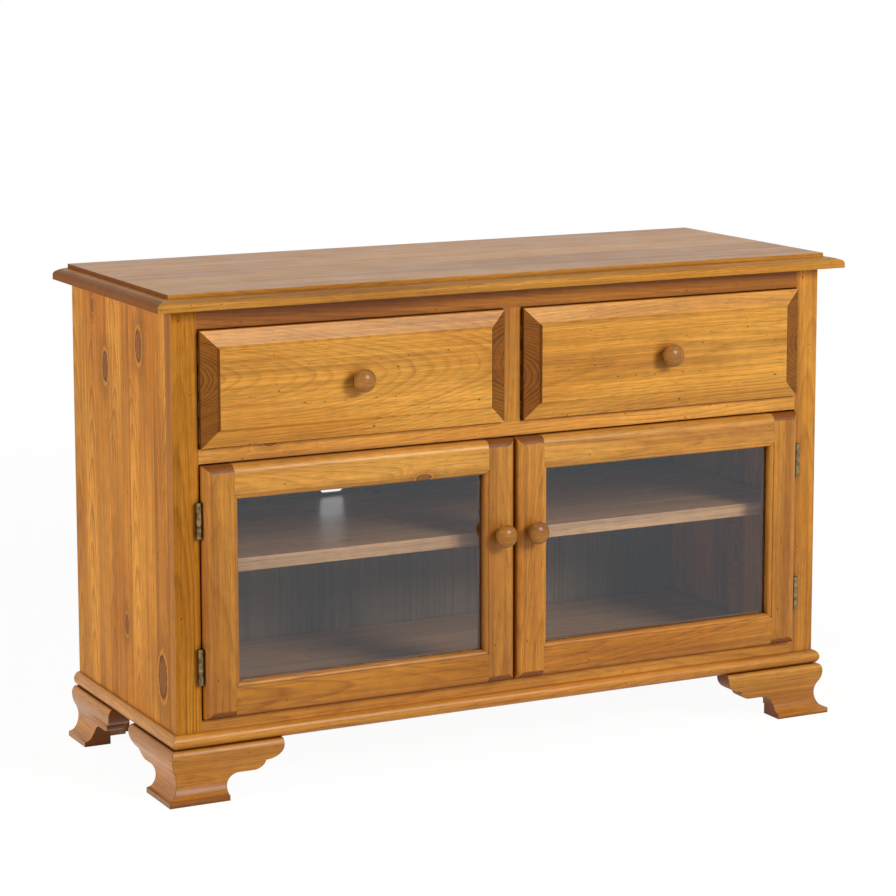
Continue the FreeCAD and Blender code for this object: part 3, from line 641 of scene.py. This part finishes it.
HONEY_PINE = Pine(
    name="honey_pine",
    pale=(0.75, 0.325, 0.044, 1.0),
    dark=(0.33, 0.098, 0.014, 1.0),
    amber=(0.61, 0.235, 0.026, 1.0),
    streak=(0.35, 0.118, 0.02, 1.0),
    knot=(0.115, 0.038, 0.014, 1.0),
    end=(0.26, 0.066, 0.002, 1.0),
    # Painted shade in corners and joints, with some stain gathered there.
    glaze_and_shade=(0.30, 0.20, 0.13, 1.0),
    roughness=0.32,
)
SIDE_PINE = replace(
    HONEY_PINE,
    name="side_pine",
    pale=(0.78, 0.315, 0.038, 1.0),
    dark=(0.26, 0.07, 0.006, 1.0),
    amber=(0.52, 0.172, 0.014, 1.0),
    streak=(0.28, 0.088, 0.014, 1.0),
    ring_depth=1.0,
    stave_spread=0.34,
)
DRAWER_PINE = replace(
    HONEY_PINE,
    name="drawer_pine",
    knot=(0.06, 0.015, 0.002, 1.0),
    end=(0.215, 0.05, 0.001, 1.0),
    end_soak=0.4,
    dent_rarity=0.52,
    # A longer reach spreads the painted corner shade over the drawer's gaps and the step round its
    # field.
    glaze_and_shade_reach=0.02,
)
TURNED_PINE = replace(
    HONEY_PINE,
    name="turned_pine",
    pale=(0.50, 0.205, 0.03, 1.0),
    dark=(0.20, 0.062, 0.01, 1.0),
    amber=(0.40, 0.15, 0.018, 1.0),
    streak=(0.27, 0.092, 0.014, 1.0),
    roughness=0.24,
    specular=0.32,
    ring_depth=0.5,
    end_share=0.0,
)
SHELF_PINE = replace(
    HONEY_PINE,
    name="shelf_pine",
    pale=(0.72, 0.40, 0.19, 1.0),
    amber=(0.64, 0.34, 0.155, 1.0),
    dark=(0.48, 0.26, 0.13, 1.0),
    streak=(0.50, 0.28, 0.14, 1.0),
    roughness=0.3,
    specular=0.4,
    ring_depth=0.3,
    dent_rarity=2.0,
    relief=0.01,
)
RAW_PINE = Pine(
    name="raw_pine",
    pale=(0.72, 0.52, 0.29, 1.0),
    dark=(0.50, 0.29, 0.12, 1.0),
    amber=(0.66, 0.45, 0.23, 1.0),
    streak=(0.56, 0.36, 0.18, 1.0),
    knot=(0.22, 0.10, 0.05, 1.0),
    end=(0.50, 0.32, 0.17, 1.0),
    # Painted shade in corners and in the gaps round the drawers.
    glaze_and_shade=(0.24, 0.18, 0.13, 1.0),
    roughness=0.6,
    dent_rarity=2.0,
)
PANEL_PINE = Pine(
    name="panel_pine",
    pale=(0.34, 0.228, 0.143, 1.0),
    dark=(0.18, 0.113, 0.068, 1.0),
    amber=(0.28, 0.186, 0.115, 1.0),
    streak=(0.22, 0.142, 0.085, 1.0),
    knot=(0.15, 0.06, 0.03, 1.0),
    end=(0.30, 0.16, 0.08, 1.0),
    # Painted shade in the panel's corners and joints.
    glaze_and_shade=(0.60, 0.54, 0.48, 1.0),
    roughness=0.55,
    ring_depth=0.9,
    pore_depth=0.05,
    dent_rarity=2.0,
)
ANTIQUE_BRASS = Metal("antique_brass", (0.32, 0.23, 0.10, 1.0), (0.11, 0.08, 0.04, 1.0), 0.38)
ZINC = Metal("zinc", (0.55, 0.55, 0.54, 1.0), (0.42, 0.42, 0.42, 1.0), 0.4)


def put_on(node: str, material: bpy.types.Material) -> None:
    """Gives a node of the frame one material.

    Args:
        node: the node's name.
        material: what it is covered with.
    """
    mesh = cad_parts[node].data
    mesh.materials.clear()
    mesh.materials.append(material)


def quarter(start: Pair, end: Pair, turned: bool, steps: int = 10) -> np.ndarray:
    """A quarter of an ellipse between two points of a profile.

    One coordinate goes with the sine of an angle from 0 to a right angle, the other with one minus
    its cosine.

    Args:
        start: the first point.
        end: the last point.
        turned: whether it leaves along the second coordinate.
        steps: how many points it has after the first.

    Returns:
        The points after the first, one in each row.
    """
    angle = np.linspace(0.0, np.pi / 2, steps + 1)[1:]
    share = np.stack([np.sin(angle), 1.0 - np.cos(angle)], axis=1)
    share = share[:, ::-1] if turned else share
    return np.array(start) + (np.array(end) - np.array(start)) * share


def turned_mesh(name: str, profile: np.ndarray, centre: Vector, around: int = 56) -> bpy.types.Mesh:
    """A surface turned about a line towards the front.

    A point at radius r and height h of the profile stands at x + r cos a, y - h, z + r sin a, with
    the angle a going once round. The first and last points of the profile lie on the line.

    Args:
        name: the mesh's name.
        profile: radius and height in each row.
        centre: the foot of the line.
        around: how many points go round.

    Returns:
        The closed mesh.
    """
    angle = np.linspace(0.0, 2 * np.pi, around, endpoint=False)
    radius, height = profile[1:-1, 0], profile[1:-1, 1]
    ring = np.stack(
        [
            centre.x + np.outer(radius, np.cos(angle)),
            np.repeat(centre.y - height[:, None], around, axis=1),
            centre.z + np.outer(radius, np.sin(angle)),
        ],
        axis=2,
    ).reshape(-1, 3)
    poles = np.array([(centre.x, centre.y - profile[end, 1], centre.z) for end in (0, -1)])
    rows = len(radius)
    here = np.arange(around)
    after = np.roll(here, -1)
    base = (np.arange(rows - 1) * around)[:, None]
    corners = [base + here, base + around + here, base + around + after, base + after]
    quads = np.stack(corners, axis=2).reshape(-1, 4)
    last = (rows - 1) * around
    first_cap = np.stack([np.full(around, rows * around), here, after], axis=1)
    last_cap = np.stack([np.full(around, rows * around + 1), last + after, last + here], axis=1)
    faces = quads.tolist() + first_cap.tolist() + last_cap.tolist()
    mesh = bpy.data.meshes.new(name)
    mesh.from_pydata(np.concatenate([ring, poles]).tolist(), [], faces)
    mesh.polygons.foreach_set("use_smooth", np.ones(len(mesh.polygons), bool))
    mesh.update()
    return mesh


@dataclass(frozen=True)
class TurnedKnob:
    """A mushroom knob with a small foot, a waist and a domed head, in metres."""

    node: str
    body: str
    head: float = 16.0 * MM
    reach: float = 28.0 * MM
    widest: float = 17.0 * MM
    waist: float = 6.5 * MM
    waist_height: float = 7.0 * MM
    foot: float = 8.5 * MM
    foot_edge: float = 1.5 * MM

    def profile(self) -> np.ndarray:
        """The foot, the cove to the waist, the swell to the widest ring and the dome."""
        rise = np.linspace(0.0, 1.0, 11)[1:]
        swell = np.stack(
            [
                self.waist + (self.head - self.waist) * rise**2 * (3 - 2 * rise),
                self.waist_height + (self.widest - self.waist_height) * rise,
            ],
            axis=1,
        )
        return np.concatenate(
            [
                np.array([(0.0, 0.0), (self.foot, 0.0), (self.foot, self.foot_edge)]),
                quarter((self.foot, self.foot_edge), (self.waist, self.waist_height), False),
                swell,
                quarter((self.head, self.widest), (0.0, self.reach), True, 16),
            ]
        )

    def build(self) -> None:
        """Turns the knob in the place of its solid."""
        low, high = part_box(self.node)
        centre = Vector(((low[0] + high[0]) / 2, low[1] + self.reach, (low[2] + high[2]) / 2))
        name = f"{self.node}_turned"
        mesh = turned_mesh(name, self.profile(), centre)
        mesh.materials.append(TURNED_PINE.material(Cut(self.node, Grain.FRONT_RAIL)))
        knob = bpy.data.objects.new(name, mesh)
        bpy.context.scene.collection.objects.link(knob)
        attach(knob, self.body)
        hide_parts(self.node)
        LOG.info("turned %s", name)


class SubAssembly:
    """A set of boards, each cut from its own pine."""

    boards: dict[Pine, tuple[Cut, ...]] = {}

    def dress(self) -> None:
        """Covers every board."""
        for pine, cuts in self.boards.items():
            for cut in cuts:
                put_on(cut.node, pine.material(cut))
                LOG.info("dressed %s", cut.node)


@dataclass
class Carcass(SubAssembly):
    """The top, sides, floor, deck, shelf and back, with the battens inside."""

    top_stave: float = 0.118
    side_stave: float = 0.088
    back_stave: float = 0.24

    def __post_init__(self) -> None:
        """Lists the boards."""
        flat, side, front_to_back = Grain.FLAT_BOARD, Grain.SIDE_BOARD, Grain.SIDE_RAIL
        knots = (
            Knot(0.186, 0.048, 0.0105),
            Knot(0.231, -0.080, 0.0110),
            Knot(-0.162, -0.019, 0.0070),
            Knot(-0.206, -0.151, 0.0145),
            Knot(0.265, 0.095, 0.0050),
        )
        self.boards = {
            HONEY_PINE: (Cut("top_board", flat, self.top_stave, tone=1.08, gloss=0.29),),
            SIDE_PINE: (
                Cut("left_side_panel", side, self.side_stave, 1.05, 0.08, knots, run_out=0.05),
                Cut("right_side_panel", side, self.side_stave, 1.05, 0.08, knots[1:3]),
            ),
            SHELF_PINE: (
                Cut("floor_board", flat, self.top_stave, run_out=0.0),
                Cut("shelf", flat, self.top_stave, run_out=0.0),
            ),
            PANEL_PINE: (Cut("back_panel", Grain.FRONT_STILE, self.back_stave),),
            RAW_PINE: (
                Cut("drawer_deck", flat, self.top_stave),
                Cut("drawer_guides", front_to_back),
                Cut("drawer_stops", Grain.FRONT_RAIL),
                Cut("top_cleats", front_to_back),
                Cut("shelf_pegs", Grain.FRONT_RAIL),
            ),
        }


@dataclass
class FaceFrame(SubAssembly):
    """The stiles, rails and muntin of the front."""

    def __post_init__(self) -> None:
        """Lists the boards."""
        rail, stile = Grain.FRONT_RAIL, Grain.FRONT_STILE
        self.boards = {
            HONEY_PINE: (
                # The top front rail's low tone is painted shade from the overhang of the top.
                Cut("top_front_rail", rail, tone=0.78),
                Cut("middle_front_rail", rail, tone=1.12, knots=(Knot(-0.362, 0.0105, 0.0045),)),
                Cut("bottom_front_rail", rail),
                Cut("left_front_stile", stile, tone=0.93, gloss=0.12),
                Cut("right_front_stile", stile, tone=1.01, gloss=0.7),
                Cut("drawer_muntin", stile, tone=0.96),
            )
        }


@dataclass
class BracketFeet(SubAssembly):
    """The bracket feet, their corner blocks and the moulding above them."""

    def __post_init__(self) -> None:
        """Lists the boards."""
        across, back = Grain.FRONT_RAIL, Grain.SIDE_RAIL
        cuts = [Cut("base_moulding_front", across, tone=0.98)]
        for side in Side:
            cuts += [
                Cut(f"base_moulding_{side.value}", back, tone=0.98),
                Cut(f"front_{side.value}_foot_face", across, tone=0.97),
                Cut(f"front_{side.value}_foot_side", back, tone=0.97),
                Cut(f"rear_{side.value}_foot_side", back, tone=0.97),
                Cut(f"rear_{side.value}_foot_back", across, tone=0.9),
            ]
        blocks = Cut("foot_corner_blocks", Grain.FRONT_STILE)
        self.boards = {HONEY_PINE: tuple(cuts), RAW_PINE: (blocks,)}


@dataclass
class Drawer(SubAssembly):
    """One drawer with its fielded front, the slope of the rings in that, and its turned knob."""

    side: Side
    run_out: float

    def __post_init__(self) -> None:
        """Lists the boards."""
        name, rail = f"{self.side.value}_drawer", Grain.FRONT_RAIL
        front = Cut(f"{name}_front", rail, tone=1.12, gloss=0.55, run_out=self.run_out)
        self.boards = {
            DRAWER_PINE: (front,),
            RAW_PINE: (Cut(f"{name}_sides", Grain.SIDE_RAIL), Cut(f"{name}_back", rail)),
            PANEL_PINE: (Cut(f"{name}_bottom", Grain.FLAT_BOARD),),
        }

    def dress(self) -> None:
        """Covers the boards and turns the knob."""
        super().dress()
        name = f"{self.side.value}_drawer"
        TurnedKnob(f"{name}_knob", name).build()


@dataclass
class Door(SubAssembly):
    """One glazed door with its knob and hinge leaves."""

    side: Side
    glass: bpy.types.Material
    brass: bpy.types.Material
    zinc: bpy.types.Material

    def __post_init__(self) -> None:
        """Lists the boards."""
        name = f"{self.side.value}_door"
        knots = (Knot(0.089, -0.019, 0.0055),) if self.side is Side.LEFT else ()
        self.boards = {
            HONEY_PINE: (
                Cut(f"{name}_hinge_stile", Grain.FRONT_STILE, tone=0.98),
                Cut(f"{name}_lock_stile", Grain.FRONT_STILE),
                Cut(f"{name}_top_rail", Grain.FRONT_RAIL, tone=1.14, knots=knots),
                Cut(f"{name}_bottom_rail", Grain.FRONT_RAIL, tone=0.9),
                Cut(f"{name}_glazing_beads", Grain.FRONT_RAIL),
            )
        }

    def dress(self) -> None:
        """Covers the boards, the pane and the metal pieces, and turns the knob."""
        super().dress()
        name = f"{self.side.value}_door"
        put_on(f"{name}_glass", self.glass)
        put_on(f"{name}_hinge_leaves", self.brass)
        put_on(f"{name}_strike_plate", self.zinc)
        TurnedKnob(f"{name}_knob", name).build()
        LOG.info("dressed the glass and metal of %s", name)


@dataclass(frozen=True)
class Softbox:
    """A flat lamp that looks at the stand; a fill isn't mirrored in the lacquer."""

    name: str
    place: Point
    width: float
    height: float
    power: float
    mirrored: bool = False
    target: Point = (0.0, 0.0, 0.35)

    def build(self) -> None:
        """Adds the lamp."""
        lamp = bpy.data.lights.new(self.name, "AREA")
        lamp.shape = "RECTANGLE"
        lamp.size = self.width
        lamp.size_y = self.height
        lamp.energy = self.power
        holder = bpy.data.objects.new(self.name, lamp)
        holder.location = self.place
        holder.visible_glossy = self.mirrored
        look = Vector(self.target) - Vector(self.place)
        holder.rotation_euler = look.to_track_quat("-Z", "Y").to_euler()
        bpy.context.scene.collection.objects.link(holder)


@dataclass(frozen=True)
class Studio:
    """The white floor, the light round the stand and the camera.

    The floor glows by its share where it is seen, and fades to white between two distances in
    metres. The camera's angles are in degrees, its lens and sensor in millimetres.
    """

    ambient: float = 0.16
    floor_half: float = 9.0
    floor_white: float = 0.82
    floor_share: float = 0.88
    floor_glow: float = 1.075
    fade: Pair = (1.6, 3.4)
    camera_place: Point = (-1.88662, -3.69486, 1.17718)
    yaw: float = 26.873
    pitch: float = 8.621
    roll: float = -0.09
    lens: float = 118.55
    sensor: float = 36.0
    shift_up: float = -0.10714
    far_clip: float = 60.0

    def _seen(self, graph: Graph) -> Socket:
        """Tells rays that show the background from those that carry light.

        Args:
            graph: the node tree.

        Returns:
            1 for such a ray and 0 for others.
        """
        path = graph.add("ShaderNodeLightPath").outputs
        mirrored = graph.math("MAXIMUM", path["Is Glossy Ray"], path["Is Transmission Ray"])
        return graph.math("MAXIMUM", path["Is Camera Ray"], mirrored)

    def build_world(self) -> None:
        """White where it is seen, and a plain soft light elsewhere."""
        graph = Graph(bpy.data.worlds.new("studio_world"))
        soft = graph.add("ShaderNodeBackground", Color=WHITE, Strength=self.ambient)
        white = graph.add("ShaderNodeBackground", Color=WHITE)
        bpy.context.scene.world = graph.finish(graph.blend(self._seen(graph), soft, white))

    def build_floor(self) -> None:
        """A pale floor that keeps a faint shadow under the feet and fades into the white behind."""
        reach = self.floor_half
        corners = np.array([(-1, -1, 0), (1, -1, 0), (1, 1, 0), (-1, 1, 0)], float) * reach
        mesh = bpy.data.meshes.new("floor")
        mesh.from_pydata(corners.tolist(), [], [(0, 1, 2, 3)])
        floor = bpy.data.objects.new("floor", mesh)
        bpy.context.scene.collection.objects.link(floor)
        graph = Graph(bpy.data.materials.new("white_floor"))
        place = graph.add("ShaderNodeTexCoord").outputs["Object"]
        length = graph.add("ShaderNodeVectorMath", {"operation": "LENGTH"}, Vector=place)
        away = length.outputs["Value"]
        share = graph.ramp(away, *self.fade, self.floor_share, 1.0)
        share = graph.math("MULTIPLY", self._seen(graph), share)
        matt = graph.add("ShaderNodeBsdfDiffuse", Color=(self.floor_white,) * 3 + (1.0,))
        strength = graph.ramp(away, *self.fade, self.floor_glow, 1.0)
        glow = graph.add("ShaderNodeEmission", Strength=strength)
        mesh.materials.append(graph.finish(graph.blend(share, matt, glow)))

    def build_lamps(self) -> None:
        """A key from the front right above, and fills from the left and the rear right."""
        lamps = (
            Softbox("key_softbox", (1.3, -3.5, 2.15), 1.3, 1.3, 89.0, mirrored=True),
            Softbox("side_softbox", (-3.9, -0.5, 1.3), 1.8, 1.8, 68.0),
            Softbox("rear_softbox", (3.4, 2.6, 0.36), 2.0, 0.56, 76.0),
        )
        for lamp in lamps:
            lamp.build()
            LOG.info("lit %s", lamp.name)

    def build_camera(self) -> None:
        """A long lens at the photograph's place, turned by yaw, pitch and roll."""
        yaw, pitch, roll = (math.radians(angle) for angle in (self.yaw, self.pitch, self.roll))
        level = math.cos(pitch)
        forward = Vector((math.sin(yaw) * level, math.cos(yaw) * level, -math.sin(pitch)))
        right = Vector((math.cos(yaw), -math.sin(yaw), 0.0))
        up = right.cross(forward)
        right, up = (
            right * math.cos(roll) + up * math.sin(roll),
            up * math.cos(roll) - right * math.sin(roll),
        )
        lens = bpy.data.cameras.new("photo_camera")
        lens.lens = self.lens
        lens.sensor_width = self.sensor
        lens.shift_y = self.shift_up
        lens.clip_end = self.far_clip
        camera = bpy.data.objects.new("photo_camera", lens)
        turn = Matrix((right, up, -forward)).transposed()
        camera.matrix_world = Matrix.Translation(self.camera_place) @ turn.to_4x4()
        bpy.context.scene.collection.objects.link(camera)
        bpy.context.scene.camera = camera

    def build(self) -> None:
        """Builds the studio and sets the plain view transform."""
        bpy.context.scene.view_settings.view_transform = "Standard"
        self.build_world()
        self.build_floor()
        self.build_lamps()
        self.build_camera()


def main() -> None:
    """Dresses each sub-assembly and builds the studio."""
    logging.basicConfig(level=logging.INFO, format="%(message)s")
    glass = ClearGlass().material()
    brass = ANTIQUE_BRASS.material()
    zinc = ZINC.material()
    parts: list[SubAssembly] = [Carcass(), FaceFrame(), BracketFeet()]
    for side, run_out in ((Side.LEFT, 0.11), (Side.RIGHT, 0.025)):
        parts.append(Drawer(side, run_out))
        parts.append(Door(side, glass, brass, zinc))
    for part in parts:
        part.dress()
    for node in ("hinge_frame_leaves", "hinge_pins"):
        put_on(node, brass)
    put_on("door_catches", zinc)
    Studio().build()


if __name__ == "__main__":
    main()
